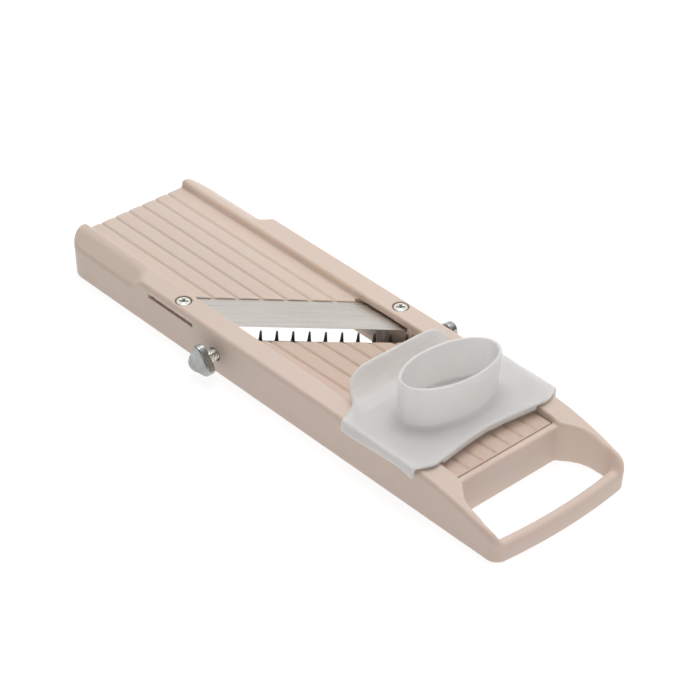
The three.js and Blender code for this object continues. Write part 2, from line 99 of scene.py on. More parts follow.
def nets(f, xs, ys, zs, rounds=3):
    F = np.broadcast_to(f(xs[:, None, None], ys[None, :, None], zs[None, None, :]), (len(xs), len(ys), len(zs))).astype(np.float32)
    S = F < 0
    nx, ny, nz = F.shape
    c = np.zeros((nx - 1, ny - 1, nz - 1), np.int8)
    for i, j, k in OFFS:
        c += S[i:nx - 1 + i, j:ny - 1 + j, k:nz - 1 + k]
    act = (c > 0) & (c < 8)
    I, J, K = np.nonzero(act)
    idx = np.full(act.shape, -1, np.int32)
    idx[act] = np.arange(len(I))
    acc = np.zeros((len(I), 3)); cnt = np.zeros(len(I))
    for a, b in EDGES:
        fa = F[I + a[0], J + a[1], K + a[2]].astype(np.float64); fb = F[I + b[0], J + b[1], K + b[2]].astype(np.float64)
        m = (fa < 0) != (fb < 0)
        t = np.where(m, fa / np.where(m, fa - fb, 1), 0)[:, None]
        pa = np.stack([xs[I + a[0]], ys[J + a[1]], zs[K + a[2]]], 1)
        pb = np.stack([xs[I + b[0]], ys[J + b[1]], zs[K + b[2]]], 1)
        acc[m] += (pa + (pb - pa) * t)[m]; cnt[m] += 1
    V = acc / cnt[:, None]
    cell = np.stack([xs[I + 1] - xs[I], ys[J + 1] - ys[J], zs[K + 1] - zs[K]], 1)
    quads = []
    i, j, k = np.nonzero(S[:-1, 1:-1, 1:-1] != S[1:, 1:-1, 1:-1]); j += 1; k += 1
    q = np.stack([idx[i, j - 1, k - 1], idx[i, j, k - 1], idx[i, j, k], idx[i, j - 1, k]], 1)
    q[~S[i, j, k]] = q[~S[i, j, k]][:, ::-1]; quads.append(q)
    i, j, k = np.nonzero(S[1:-1, :-1, 1:-1] != S[1:-1, 1:, 1:-1]); i += 1; k += 1
    q = np.stack([idx[i - 1, j, k - 1], idx[i - 1, j, k], idx[i, j, k], idx[i, j, k - 1]], 1)
    q[~S[i, j, k]] = q[~S[i, j, k]][:, ::-1]; quads.append(q)
    i, j, k = np.nonzero(S[1:-1, 1:-1, :-1] != S[1:-1, 1:-1, 1:]); i += 1; j += 1
    q = np.stack([idx[i - 1, j - 1, k], idx[i, j - 1, k], idx[i, j, k], idx[i - 1, j, k]], 1)
    q[~S[i, j, k]] = q[~S[i, j, k]][:, ::-1]; quads.append(q)
    Q = np.concatenate(quads)
    for _ in range(rounds):
        V = onto(f, V, cell)
    return V, Q

def gradient(f, V, h=0.02):
    x, y, z = V.T
    return np.stack([f(x + h, y, z) - f(x - h, y, z), f(x, y + h, z) - f(x, y - h, z), f(x, y, z + h) - f(x, y, z - h)], 1) / (2 * h)
def onto(f, V, cell):
    g = gradient(f, V)
    d = f(*V.T)
    step = -g * (d / np.maximum((g * g).sum(1), 0.05))[:, None]
    lim = 0.45 * cell if cell is not None else 0.15
    return V + np.clip(step, -lim, lim)

def raw_mesh(name, V, Q):
    me = bpy.data.meshes.new(name)
    n = Q.shape[1]
    me.vertices.add(len(V)); me.vertices.foreach_set("co", V.astype(np.float32).ravel())
    me.loops.add(Q.size); me.loops.foreach_set("vertex_index", Q.astype(np.int32).ravel())
    me.polygons.add(len(Q))
    me.polygons.foreach_set("loop_start", np.arange(0, Q.size, n, dtype=np.int32))
    me.update(calc_edges=True); me.validate()
    return me

def moulded(name, f, xs, ys, zs, keep_tris, place=None, h=0.04, flip=False):
    """A smooth closed mesh of f < 0, thinned where it is flat, with normals from the function itself."""
    V, Q = nets(f, xs, ys, zs)
    me = raw_mesh(name, V, Q[:, ::-1] if flip else Q)
    ob = bpy.data.objects.new(name, me)
    bpy.context.scene.collection.objects.link(ob)
    tris = 2 * len(Q)
    if tris > keep_tris:
        m = ob.modifiers.new("thin", "DECIMATE"); m.ratio = keep_tris / tris
        bpy.context.view_layer.objects.active = ob; ob.select_set(True)
        bpy.ops.object.modifier_apply(modifier="thin")
        ob.select_set(False)
        me = ob.data
    co = np.zeros(len(me.vertices) * 3); me.vertices.foreach_get("co", co); co = co.reshape(-1, 3)
    co = onto(f, onto(f, co, None), None)
    g = gradient(f, co, h)
    g /= np.maximum(np.linalg.norm(g, axis=1), 1e-6)[:, None]
    if place is not None:
        co, g = place(co, g)
    me.vertices.foreach_set("co", to_row(co).astype(np.float32).ravel())
    me.update()
    me.polygons.foreach_set("use_smooth", np.ones(len(me.polygons), bool))
    me.normals_split_custom_set_from_vertices(g.tolist())
    me.update()
    print(name, "verts", len(me.vertices), "faces", len(me.polygons))
    return ob

def to_row(co):
    return (np.asarray(co, float) - np.array([SX, SY, 0])) / 1000.0

# ------------------------------------------------------------------ body frame
zt = spline([(-20, 25.3), (246, 25.3), (257, 25.05), (264, 24.65), (273, 23.8), (280, 22.6), (286.5, 21.3), (293, 19.8), (300, 17.9),
             (303, 17.2), (306, 16.4), (308, 15.6), (310.5, 14.2), (313, 12.0), (316, 9.2), (330, 6.0)], 0.9, -20, 330)
BAR_TOP = 9.8
LOOP = spline([(270, 32.4), (278, 32.5), (279.7, 33.3), (283.8, 36.8), (287.9, 39.3), (293, 40.5), (300, 40.7), (320, 40.7)], 0.6, 270, 320)

def deck_z(y):
    d = (y - MID) / PITCH
    off = np.abs(d - np.floor(d) - 0.5) * PITCH          # distance from the nearest groove
    inside = (np.abs(y - MID) < 3.0 * PITCH - 0.5)
    groove = np.where(inside, 0.72 * np.exp(-(off / 0.78) ** 2), 0)
    crown = np.where(np.abs(y - MID) < 2.5 * PITCH + 0.01, 0.14 * ((PITCH / 2 - off) / (PITCH / 2)) ** 2, 0.0)
    return DECK_Z - groove - crown

def body(x, y, z):
    q = np.abs(y - MID)
    e = MID - q
    near = y < MID
    s = x - DIAG * y
    side = (q - (46 - 1.75 * (1 - z / RAIL_TOP))) * 0.9976
    end = x - (316.0 - 2.1 * (q / 36.5) ** 2)
    plan = rmax(rmax(side, -x, 11.0), end, 5.5)
    bar = smooth(299, 304, x) * (1 - smooth(37.5, 42.5, q))
    top = (z - (zt(x) * (1 - bar) + BAR_TOP * bar)) * 0.9
    r = 2.5 + 0.6 * smooth(296, 308, x)
    b = rmax(plan, top, r)
    # relief along the outer top edges at the head
    d = ((z - 25.3) * 9.2 - (e - 9.6) * 6.9) / 11.5
    b = rcut(b, rmax(-d, x - 62.7, 12.0), 1.5)
    # channel above the ribbed deck
    chan = rmax(rmax(q - 32.5, np.where(x > 272.0, DECK_Z, deck_z(y)) - z, 0.7), x - 284.0, 0.5)
    b = rcut(b, chan, 1.6)
    # underside hollows
    hw = 42.2 - 0.9 * (1 - z / 17.6)
    head = np.maximum(np.maximum(rmax(3.6 - x, q - hw, 8.0), (s - 62) * CD), z - 17.5)
    head = np.maximum(head, np.where(near, x - (62 + DIAG * 13.5) - (y - 13.5) * 2.0, -99))
    rail_hi = np.maximum(np.maximum(slab(x, 6, 56), slab(q, 35.8, 41.6)), z - 18.6)
    ribs = np.minimum(np.maximum(slab(x, 34, 36), 8 - z), np.maximum(slab(y, 45, 47), 10 - z))
    b = rcut(b, np.maximum(np.minimum(head, rail_hi), -ribs), 0.4)
    b = rcut(b, np.maximum(q - 32.5, np.maximum(slab(s, 60, 86) * CD, z - 11.5)), 0.5)
    far_hole = np.maximum(np.minimum(slab(x, 202, 258), slab(x, 139, 154) + np.maximum(z - 15, 0) * 3), slab(q, 35.7, 41.1))
    near_hole = np.maximum(np.minimum(slab(x, 138, 258), slab(x, 66, 80) + np.maximum(z - 15, 0) * 3), slab(q, 35.7, 41.1))
    b = rcut(b, np.maximum(np.where(near, near_hole, far_hole), z - 22), 0.4)
    # throat and the seat of the blade
    b = rcut(b, np.maximum(rmax(q - 32.5, (82 - s) * CD, 1.5), x - 274.45), 0.9)
    b = rcut(b, np.maximum(np.maximum(q - 32.5, (70.3 - s) * CD), np.maximum(18.75 - z, x - 274.45)), 0.25)
    b = rcut(b, np.maximum(np.maximum(slab(s, 67.2, 102.3) * CD, slab(z, 18.75, 21.25)), 31.0 - q), 0.3)
    # bridge of the thickness adjuster
    br = rmax(np.maximum(slab(x, 194, 214), q - 34), slab(z, 6.6, 9.9), 0.6)
    br = rcut(br, np.hypot(x - 204, y - MID) - 4.8, 0.4)
    b = rmin(b, br, 0.8)
    # blade screws
    for sx, sy in ((89.1, 6.3), (163.2, WIDTH - 6.3)):
        rr = np.hypot(x - sx, y - sy)
        b = rcut(b, np.maximum(rr - 4.36, RAIL_TOP - 2.6 - z), 0.3)
        b = np.maximum(b, -np.maximum(rr - 2.6, 8 - z))
        b = rcut(b, np.maximum(rr - 3.9, z - 15.2), 0.3)
    # thumb screws and comb sockets
    for sx, nr in ((119.3, True), (182.4, False)):
        rr = np.hypot(x - sx, z - 11.3)
        hole = np.minimum(np.maximum(rr - 3.6, 31.5 - q), np.maximum(rr - 5.3, slab(q, 36.8, 43.3)))
        b = rcut(b, np.maximum(hole, np.where(near == nr, -99.0, 99.0)), 0.35)
    sock = np.maximum(np.maximum(slab(s, 108.2, 111.8) * CD, z - 18.2), slab(q, 31.5, 34.4))
    b = rcut(b, sock, 0.25)
    # handle opening: flares to thin arms, ends at the bowed bar
    w = LOOP(x)
    xi = 309.3 - 2.1 * (q / 36.0) ** 2
    hole = rmax(rmax(q - w, x - xi, 2.2), 278.2 - x, 1.6)
    r = 1.3 + 0.4 * smooth(279, 290, x) + 2.4 * smooth(281, 292, x) * (1 - smooth(3, 9, z)) + (1.3 * smooth(7, 9, z) - 2.0 * (1 - smooth(3, 9, z))) * smooth(305, 308, x)
    b = rcut(b, hole, r)
    return rmax(b, -z, 0.9)

g_y = []
for k in range(-3, 3):
    c = MID + (k + 0.5) * PITCH
    g_y += [(c - 1.9, c + 1.9, 0.38), (c + 1.9, c + PITCH - 1.9, 1.3)]
g_y = g_y[:-1]
ys = grid((-0.7, 4.2, 0.45), (4.2, 11.2, 0.8), (11.2, 15.0, 0.45), (15.0, g_y[0][0], 1.3), *g_y, (g_y[-1][1], 77.0, 1.3), (77.0, 80.8, 0.45), (80.8, 87.8, 0.8), (87.8, 92.7, 0.45))
k = 1.0
xs = grid((-0.7, 4.5, 0.45 * k), (4.5, 46, 2.4), (46, 66, 1.0 * k), (66, 192, 0.62 * k), (192, 252, 1.8), (252, 276, 0.9 * k), (276, 316.9, 0.6 * k))
zs = grid((-0.6, 2.4, 0.42), (2.4, 5.6, 0.8), (5.6, 11.0, 0.75), (11, 17.0, 0.9), (17.0, 21.6, 0.3), (21.6, 26.0, 0.42))
body_ob = moulded("body_shell", body, xs, ys, zs, 185000)
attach(body_ob, "frame"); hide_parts("body_frame"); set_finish(body_ob, "body_plastic")

# ------------------------------------------------------------------ feed plate, drawn level and tilted on its rod
ZR = 20.7 - SLOPE * (PLATE_END - HINGE_X) - HINGE_Z
def plate(x, y, z):
    q = np.abs(y - MID)
    s = x - DIAG * y
    top = z - (deck_z(y) - DECK_Z) * (1 - smooth(272.0, 273.9, x))
    edge = rmax((PLATE_S - s) * CD, x - PLATE_END, 0.2)
    p = rmax(np.maximum(edge, q - 32.05), np.maximum(top, -2.5 - z), 0.45)
    lip = rmax(slab(s, 117, 119.5) * CD, np.maximum(slab(z, -4.4, -1), q - 31), 0.3)
    skirt = rmax(np.maximum(slab(q, 29.0, 31.0), slab(z, -5.2, -1)), np.maximum(116.5 - s, x - 262), 0.3)
    mid = np.maximum(slab(q, 20, 22), np.maximum(slab(z, -5, -1), np.maximum(120 - s, x - HINGE_X)))
    barrel = np.maximum(np.minimum(np.hypot(x - HINGE_X, z + ZR) - 3, np.maximum(slab(x, HINGE_X - 3, HINGE_X + 3), slab(z, -ZR, -1))), q - 31.8)
    boss = rmax(np.maximum(np.abs(x - 204) - 8, q - 8), slab(z, -5.9, -1), 0.5)
    p = rmin(p, np.minimum(np.minimum(lip, skirt), np.minimum(mid, barrel)), 0.5)
    p = rmin(p, boss, 0.6)
    p = np.maximum(p, -(np.hypot(x - HINGE_X, z + ZR) - 1.8))
    p = np.maximum(p, -np.maximum(np.maximum(slab(x, 198.8, 213), q - 5.2), slab(z, -4.3, -2.5)))
    return np.maximum(p, -np.maximum(np.minimum(np.hypot(x - 204, y - MID) - 2.6, np.maximum(slab(x, 204, 213), q - 2.6)), slab(z, -7, -4)))
A = -math.atan(SLOPE)
def tilt(co, g):
    ca, sa = math.cos(A), math.sin(A)
    R = np.array([[ca, 0, sa], [0, 1, 0], [-sa, 0, ca]])
    c = co - np.array([HINGE_X, 0, -ZR])
    return c @ R.T + np.array([HINGE_X, 0, HINGE_Z]), g @ R.T
ys_p = grid((13.4, 16.0, 0.42), (16.0, g_y[0][0], 1.3), *g_y, (g_y[-1][1], 76.0, 1.3), (76.0, 78.6, 0.42))
plate_ob = moulded("feed_plate_shell", plate, grid((125, 192, 0.55 * k), (192, 262, 2.0), (262, 275, 0.5 * k)), ys_p,
                   grid((-6.9, -3, 0.55), (-3, 0.6, 0.3)), 110000, place=tilt)
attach(plate_ob, "plate"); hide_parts("feed_plate"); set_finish(plate_ob, "plate_plastic")

# ------------------------------------------------------------------ hand guard
CURL = np.array([(216, 26.5), (211.5, 26.5), (208.4, 27.0), (205.6, 28.4), (203.2, 30.7), (201.5, 33.6), (200.4, 37.2), (200.1, 41.6)])
def to_line(x, z):
    best = None
    for (ax, az), (bx, bz) in zip(CURL[:-1], CURL[1:]):
        t = np.clip(((x - ax) * (bx - ax) + (z - az) * (bz - az)) / ((bx - ax) ** 2 + (bz - az) ** 2), 0, 1)
        d = np.hypot(x - ax - t * (bx - ax), z - az - t * (bz - az))
        best = d if best is None else np.minimum(best, d)
    return best
xh = spline([(0, 262.0), (12, 262.8), (24, 264.3), (31, 265.3), (37, 266.2), (40, 265.6), (43, 264.1), (47, 262.1), (50, 261.3)], 1.0, 0, 52)
SHIELD = spline([(0, 39.5), (19, 39.45), (23, 38.9), (26, 37.9), (28.7, 36.3), (31, 34.3), (32.2, 32.0), (33, 30.0), (34.2, 28.0), (35.5, 26.6), (40, 25.0)], 0.5, 0, 45)
xl = spline([(0, 208), (30, 208), (37, 209.0), (41, 211.2), (45, 213.0), (50, 214.2)], 1.0, 0, 52)
zk = spline([(205, 21.3), (215, 21.3), (228, 21.4), (241, 22.3), (252, 22.7), (257, 22.2), (261, 21.0), (266, 20.5)], 1.5, 200, 275)
def ell(u, v, a, b):
    k0 = np.hypot(u / a, v / b); k1 = np.hypot(u / a ** 2, v / b ** 2)
    return k0 * (k0 - 1) / np.maximum(k1, 1e-6)
def guard(x, y, z):
    q = np.abs(y - MID)
    ends = rmax(xl(q) - x, x - xh(q), 0.6)
    outer = rmax(q - 48.6, z - 27.35, 2.3)
    inner = rmax(q - 46.8, z - 25.7, 0.8)
    low = np.where(q > 46.2, zk(x) - z, 25.7 - z - 0 * x)
    p = np.maximum(rcut(outer, inner, 0.2), low)
    p = rmax(p, ends, 0.7)
    # guides between the rails and the lip along the handle side
    rim = np.maximum(rmax(q - 31.8, x - (xh(q) - 0.25), 1.5), -rmax(q - 30.0, x - (xh(q) - 2.15), 1.2))
    rim = rmax(np.maximum(rim, 211.5 - x), slab(z, 23.3, 26.5), 0.4)
    p = rmin(p, rim, 0.3)
    # curled shield on the head side
    wing = rmax(to_line(x, z) - 0.8, np.maximum((z - SHIELD(q)) * (1 - 0.4 * smooth(24, 32, q)), q - 36.5), 0.6)
    p = rmin(p, wing, 1.2)
    # oval cup
    c, s = math.cos(-0.071), math.sin(-0.071)
    u = (x - 236.3) * c + (y - MID) * s; v = -(x - 236.3) * s + (y - MID) * c
    flare = 0.35 * smooth(27, 50, z)
    o = ell(u, v, 15.0 + flare, 28.85 + flare); i = ell(u, v, 13.3 + flare, 27.1 + flare)
    cup = rmax(np.maximum(o, 26.0 - z), z - 50.0, 0.75)
    p = rmin(p, cup, 2.2)
    return rcut(p, rmax(i, 27.3 - z, 1.6), 0.75)
kq = 1.0
guard_ob = moulded("hand_guard_shell", guard, grid((198.2, 216, 0.5 * kq), (216, 256, 0.62 * kq), (256, 266.4, 0.5 * kq)),
                   grid((-3.2, 0.4, 0.4 * kq), (0.4, 14, 0.8 * kq), (14, 78, 0.72 * kq), (78, 91.6, 0.8 * kq), (91.6, 95.2, 0.4 * kq)),
                   grid((19.6, 23, 0.5 * kq), (23, 28.2, 0.34 * kq), (28.2, 48.6, 0.7 * kq), (48.6, 50.6, 0.3 * kq)), 150000)
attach(guard_ob, "guard"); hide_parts("hand_guard"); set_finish(guard_ob, "guard_plastic")

# ------------------------------------------------------------------ small parts
def bm_object(name, bm, smooth_angle=40):
    me = bpy.data.meshes.new(name)
    bmesh.ops.recalc_face_normals(bm, faces=bm.faces)
    bm.to_mesh(me); bm.free()
    ob = bpy.data.objects.new(name, me)
    bpy.context.scene.collection.objects.link(ob)
    me.polygons.foreach_set("use_smooth", np.ones(len(me.polygons), bool))
    me.set_sharp_from_angle(angle=math.radians(smooth_angle))
    return ob
def revolve(name, profile, place, n=64, wave=None):
    """profile: (r, h) from axis to axis; place(r cos, r sin, h) gives a bench point."""
    bm = bmesh.new()
    rings = []
    for r, h in profile:
        if r < 1e-6:
            rings.append([bm.verts.new(to_row(place(0, 0, h)))])
        else:
            ring = []
            for a in range(n):
                t = 2 * math.pi * a / n
                rr = r + (wave(t, h) if wave else 0)
                ring.append(bm.verts.new(to_row(place(rr * math.cos(t), rr * math.sin(t), h))))
            rings.append(ring)
    for A_, B_ in zip(rings[:-1], rings[1:]):
        for a in range(n):
            b = (a + 1) % n
            if len(A_) == 1: bm.faces.new((A_[0], B_[b], B_[a]))
            elif len(B_) == 1: bm.faces.new((A_[a], A_[b], B_[0]))
            else: bm.faces.new((A_[a], A_[b], B_[b], B_[a]))
    return bm_object(name, bm)
def ring_profile(r0, r1, h0, h1, c=0.2):       # closed ring section
    return [(r0 + c, h0), (r1 - c, h0), (r1, h0 + c), (r1, h1 - c), (r1 - c, h1), (r0 + c, h1), (r0, h1 - c), (r0, h0 + c), (r0 + c, h0)]
def prism_mesh(name, pts, lift, bevel=0.0, seg=2, extra=None):
    """Closed outline pts in a plane; lift(p, top) gives bench points of the lower and upper faces."""
    bm = bmesh.new()
    lo = [bm.verts.new(to_row(lift(p, 0))) for p in pts]
    hi = [bm.verts.new(to_row(lift(p, 1))) for p in pts]
    bm.faces.new(lo[::-1]); bm.faces.new(hi)
    for a in range(len(pts)):
        b = (a + 1) % len(pts)
        bm.faces.new((lo[a], lo[b], hi[b], hi[a]))
    if bevel:
        bmesh.ops.bevel(bm, geom=list(bm.edges), offset=bevel / 1000, segments=seg, affect="EDGES", profile=0.5, clamp_overlap=True)
    return bm_object(name, bm, 35)
def own(ob, body_name, slot_name, *nodes):
    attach(ob, body_name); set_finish(ob, slot_name)
    if nodes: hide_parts(*nodes)
    return ob

# main blade: stepped back edge, hollow ground cutting bevel
BT, BB = 20.2, 19.05
sect = [(70.45, BB + 0.08), (70.55, BB), (98.3, BB), (101.7, BT - 0.36), (101.72, BT - 0.30), (101.66, BT - 0.26), (92.3, BT - 0.02), (91.7, BT), (70.7, BT), (70.55, BT - 0.03), (70.45, BT - 0.12)]
bm = bmesh.new()
stations = np.concatenate([[1.6, 1.9], np.linspace(4, 88, 43), [90.1, 90.4]])
rows = []
for yy in stations:
    inset = 0.06 if yy in (1.6, 90.4) else 0
    rows.append([bm.verts.new(to_row((s_ + DIAG * yy, yy, z_ - inset * (1 if z_ > 19 else -1)))) for s_, z_ in sect])
for ra, rb in zip(rows[:-1], rows[1:]):
    for a in range(len(sect)):
        b = (a + 1) % len(sect)
        bm.faces.new((ra[a], ra[b], rb[b], rb[a]))
bm.faces.new(rows[0][::-1]); bm.faces.new(rows[-1])
blade_ob = own(bm_object("main_blade_ground", bm, 8), "frame", "blade_steel", "main_blade")

# comb: blanked strip with knife teeth set along the feed
bm = bmesh.new()
def add_prism(bm, lo, hi, bevel):
    vs = [bm.verts.new(to_row(p)) for p in lo]; ws = [bm.verts.new(to_row(p)) for p in hi]
    fs = [bm.faces.new(vs[::-1]), bm.faces.new(ws)]
    for a in range(len(vs)):
        b = (a + 1) % len(vs)
        fs.append(bm.faces.new((vs[a], vs[b], ws[b], ws[a])))
    es = list({e for f_ in fs for e in f_.edges})
    if bevel: bmesh.ops.bevel(bm, geom=es, offset=bevel / 1000, segments=2, affect="EDGES", profile=0.5, clamp_overlap=True)
ya, yb, hh = 12.1, 79.9, 0.8
strip = [(110 - hh, 8.0), (110 + hh, 8.0), (110 + hh, 15.6), (110 - hh, 15.6)]
add_prism(bm, [(s_ + DIAG * ya, ya, z_) for s_, z_ in strip], [(s_ + DIAG * yb, yb, z_) for s_, z_ in strip], 0.12)
for n_ in range(10):
    yy = 21.7 + n_ * 5.92
    xx = 109.75 + DIAG * yy
    out = [(xx - 1.3, 15.3), (xx + 1.4, 15.3), (xx + 1.25, 16.2), (xx + 0.95, 17.4), (xx + 0.85, 19.6), (xx + 0.72, 21.8), (xx + 0.6, 22.0), (xx - 0.05, 22.0), (xx - 0.12, 21.8), (xx - 0.45, 19.6), (xx - 0.75, 17.4), (xx - 1.1, 16.2)]
    add_prism(bm, [(a, yy - 0.33, z_) for a, z_ in out], [(a, yy + 0.33, z_) for a, z_ in out], 0.07)
comb_ob = own(bm_object("comb_toothed", bm, 40), "comb", "comb_steel", "comb_blade")

# blade screws: pan head with a crossed recess
def screw_head(x, y, z):
    r = np.hypot(x, y)
    dome = 2.18 - 0.22 * (r / 3.65) ** 2 - 0.08 * (r / 3.65) ** 6
    h = rmax(np.maximum(r - 3.65, -z), z - dome, 0.3)
    w = 0.76 - 0.12 * (2.18 - z)
    arm = 2.5 - 0.75 * (2.18 - z)
    cross = np.minimum(np.maximum(np.abs(x) - w, np.abs(y) - arm), np.maximum(np.abs(y) - w, np.abs(x) - arm))
    cross = np.maximum(np.minimum(cross, r - (1.2 - 0.45 * (2.18 - z))), 0.25 - z)
    return rcut(h, cross, 0.14)
def small(name, f, lo, hi, step, keep, place, flip=False):
    ax = [grid((a, b, step)) for a, b in zip(lo, hi)]
    return moulded(name, f, *ax, keep, place=place, h=0.02, flip=flip)
for nm, cx_, cy_, turn in (("near", 89.1, 6.3, 0.80), ("far", 163.2, WIDTH - 6.3, 0.80)):
    z0 = RAIL_TOP - 2.3
    R = np.array([[math.cos(turn), -math.sin(turn), 0], [math.sin(turn), math.cos(turn), 0], [0, 0, 1]])
    ob = small("blade_screw_head_" + nm, screw_head, (-4, -4, -0.3), (4, 4, 2.5), 0.11 * kq, 26000,
               lambda co, g, R=R: (co @ R.T + np.array([cx_, cy_, z0]), g @ R.T))
    own(ob, "frame", "bright_steel", "blade_screw_" + nm)
    shank = revolve("blade_screw_shank_" + nm, [(0, 9.2), (1.6, 9.2), (2.0, 9.7), (2.0, z0 + 0.3), (0, z0 + 0.3)],
                    lambda a, b, h: (cx_ + a, cy_ + b, h), 48)
    own(shank, "frame", "bright_steel")
    own(revolve("blade_insert_ring_" + nm, ring_profile(2.3, 3.6, 8.6, 14.9), lambda a, b, h: (cx_ + a, cy_ + b, h), 48,
                wave=lambda t, h: 0.0), "frame", "brass", "blade_insert_" + nm)

# side thumb screws: threaded stud, lobed cast head
def lobed(u, v, w, lobe):                 # w along the axis: 0 at the wall side face, -4.6 at the outer face
    a = np.arctan2(v, u); r = np.hypot(u, v)
    rim = 7.45 + 1.35 * np.cos(3 * (a - lobe)) + 0.10 * np.cos(6 * (a - lobe))
    d = (r - rim) * 0.88
    h = rmax(d, np.maximum(-4.6 - w, w), 0.75)
    dish = np.maximum(np.hypot(r, (w + 11.4)) - 7.05, -9.0)      # shallow dish on the outer face
    h = rcut(h, dish, 0.35)
    hub = rmax(r - 4.6, slab(w, -1.0, 0.55), 0.4)
    h = rmin(h, hub, 0.5)
    return h
for nm, cx_, sgn, body_s, body_h, lobe in (("near", 119.3, 1, "near_stud", "near_head", 1.75), ("far", 182.4, -1, "far_stud", "far_head", math.pi - 1.19)):
    def place(co, g, cx_=cx_, sgn=sgn):
        u, v, w = co.T
        y = -5.6 + w if sgn == 1 else WIDTH + 5.6 - w
        gg = np.stack([g[:, 0] * sgn, g[:, 2] * sgn, g[:, 1]], 1)
        return np.stack([cx_ + u * sgn, y, 11.3 + v], 1), gg
    ob = small("side_screw_knob_" + nm, lambda u, v, w, lobe=lobe: lobed(u, v, w, lobe), (-9.6, -9.6, -5.0), (9.6, 9.6, 1.0), 0.24 * kq, 30000, place, flip=True)
    own(ob, body_h, "cast_metal", "side_screw_head_" + nm)
    prof = [(0, 0.55)] + [(2.4, 0.55), (2.75, 0.2)] + [(2.88, -h_) for h_ in np.arange(0.0, 15.6, 0.125)] + [(2.5, -16.0), (2.0, -16.7), (0, -16.8)]
    def thread(t, h):
        return 0.12 * math.cos(2 * math.pi * h - t) if -15.4 < h < 0 else 0
    stud = revolve("side_screw_thread_" + nm, prof, lambda a, b, h: (cx_ + a, (-5.6 - h) if sgn == 1 else (WIDTH + 5.6 + h), 11.3 + b), 48, wave=thread)
    own(stud, body_s, "bright_steel", "side_screw_stud_" + nm)
    y0, y1 = (3.0, 8.9) if sgn == 1 else (WIDTH - 8.9, WIDTH - 3.0)
    own(revolve("side_bush_ring_" + nm, ring_profile(3.3, 5.0, y0, y1), lambda a, b, h: (cx_ + a, h, 11.3 + b), 56), "frame", "brass", "side_bush_" + nm)

# thickness adjuster and the hinge rod
def knob(x, y, z):
    a = np.arctan2(y, x); r = np.hypot(x, y)
    d = rmax((r - (11.2 + 0.55 * np.cos(12 * a))) * 0.95, slab(z, 2.1, 5.3), 0.6)
    d = rcut(d, np.maximum(slab(r, 5.2, 8.6), z - 2.6), 0.25)
    return np.maximum(d, -np.maximum(r - 2.7, 2.6 - z))
ob = small("adjusting_knob_cast", knob, (-12.4, -12.4, 1.8), (12.4, 12.4, 5.6), 0.3 * kq, 40000, lambda co, g: (co + np.array([204.0, MID, 0]), g))
own(ob, "knob", "cast_metal", "adjusting_knob")
prof = [(0, 2.9), (2.2, 2.9), (2.4, 3.1), (2.4, 5.4), (2.86, 5.8)] + [(2.87, h_) for h_ in np.arange(5.9, 11.7, 0.125)] + [(2.7, 11.85), (1.9, 11.9), (1.9, 15.25), (4.05, 15.25), (4.2, 15.4), (4.2, 16.2), (4.05, 16.35), (0, 16.35)]
own(revolve("adjusting_screw_thread", prof, lambda a, b, h: (204 + a, MID + b, h), 56,
            wave=lambda t, h: 0.12 * math.cos(2 * math.pi * h - t) if 5.85 < h < 11.75 else 0), "knob", "bright_steel", "adjusting_screw")
own(revolve("adjuster_bush_ring", ring_profile(3.3, 4.5, 6.4, 10.1), lambda a, b, h: (204 + a, MID + b, h), 56), "frame", "brass", "adjuster_bush")
own(revolve("adjuster_washer_ring", ring_profile(2.2, 4.0, 12.2, 12.9, 0.12), lambda a, b, h: (204 + a, MID + b, h), 56), "lift", "bright_steel", "adjuster_washer")
own(revolve("hinge_rod_turned", [(0, 9.9), (1.2, 9.9), (1.5, 10.2), (1.5, 81.8), (1.2, 82.1), (0, 82.1)], lambda a, b, h: (HINGE_X + a, h, HINGE_Z + b), 40), "frame", "bright_steel", "hinge_rod")

# food spikes under the guard's cup
bm = bmesh.new()
for ix, iy in ((-6, -16), (6, -16), (0, -9), (-7, -3), (7, -3), (0, 4), (-7, 10), (7, 10), (0, 17), (0, -22), (0, 23)):
    prof = [(0, 26.2), (1.55, 26.2), (1.5, 25.6), (1.0, 24.4), (0.45, 23.4), (0.2, 23.05), (0, 23.0)]
    rings = []
    for r_, h_ in prof:
        rings.append([bm.verts.new(to_row((236.3 + ix, MID + iy, h_)))] if r_ < 1e-6 else
                     [bm.verts.new(to_row((236.3 + ix + r_ * math.cos(t), MID + iy + r_ * math.sin(t), h_))) for t in np.linspace(0, 2 * math.pi, 20, endpoint=False)])
    for A_, B_ in zip(rings[:-1], rings[1:]):
        for a in range(20):
            b = (a + 1) % 20
            if len(A_) == 1: bm.faces.new((A_[0], B_[a], B_[b]))
            elif len(B_) == 1: bm.faces.new((A_[b], A_[a], B_[0]))
            else: bm.faces.new((A_[b], A_[a], B_[a], B_[b]))
spikes = own(bm_object("guard_spikes", bm, 50), "guard", "guard_plastic")

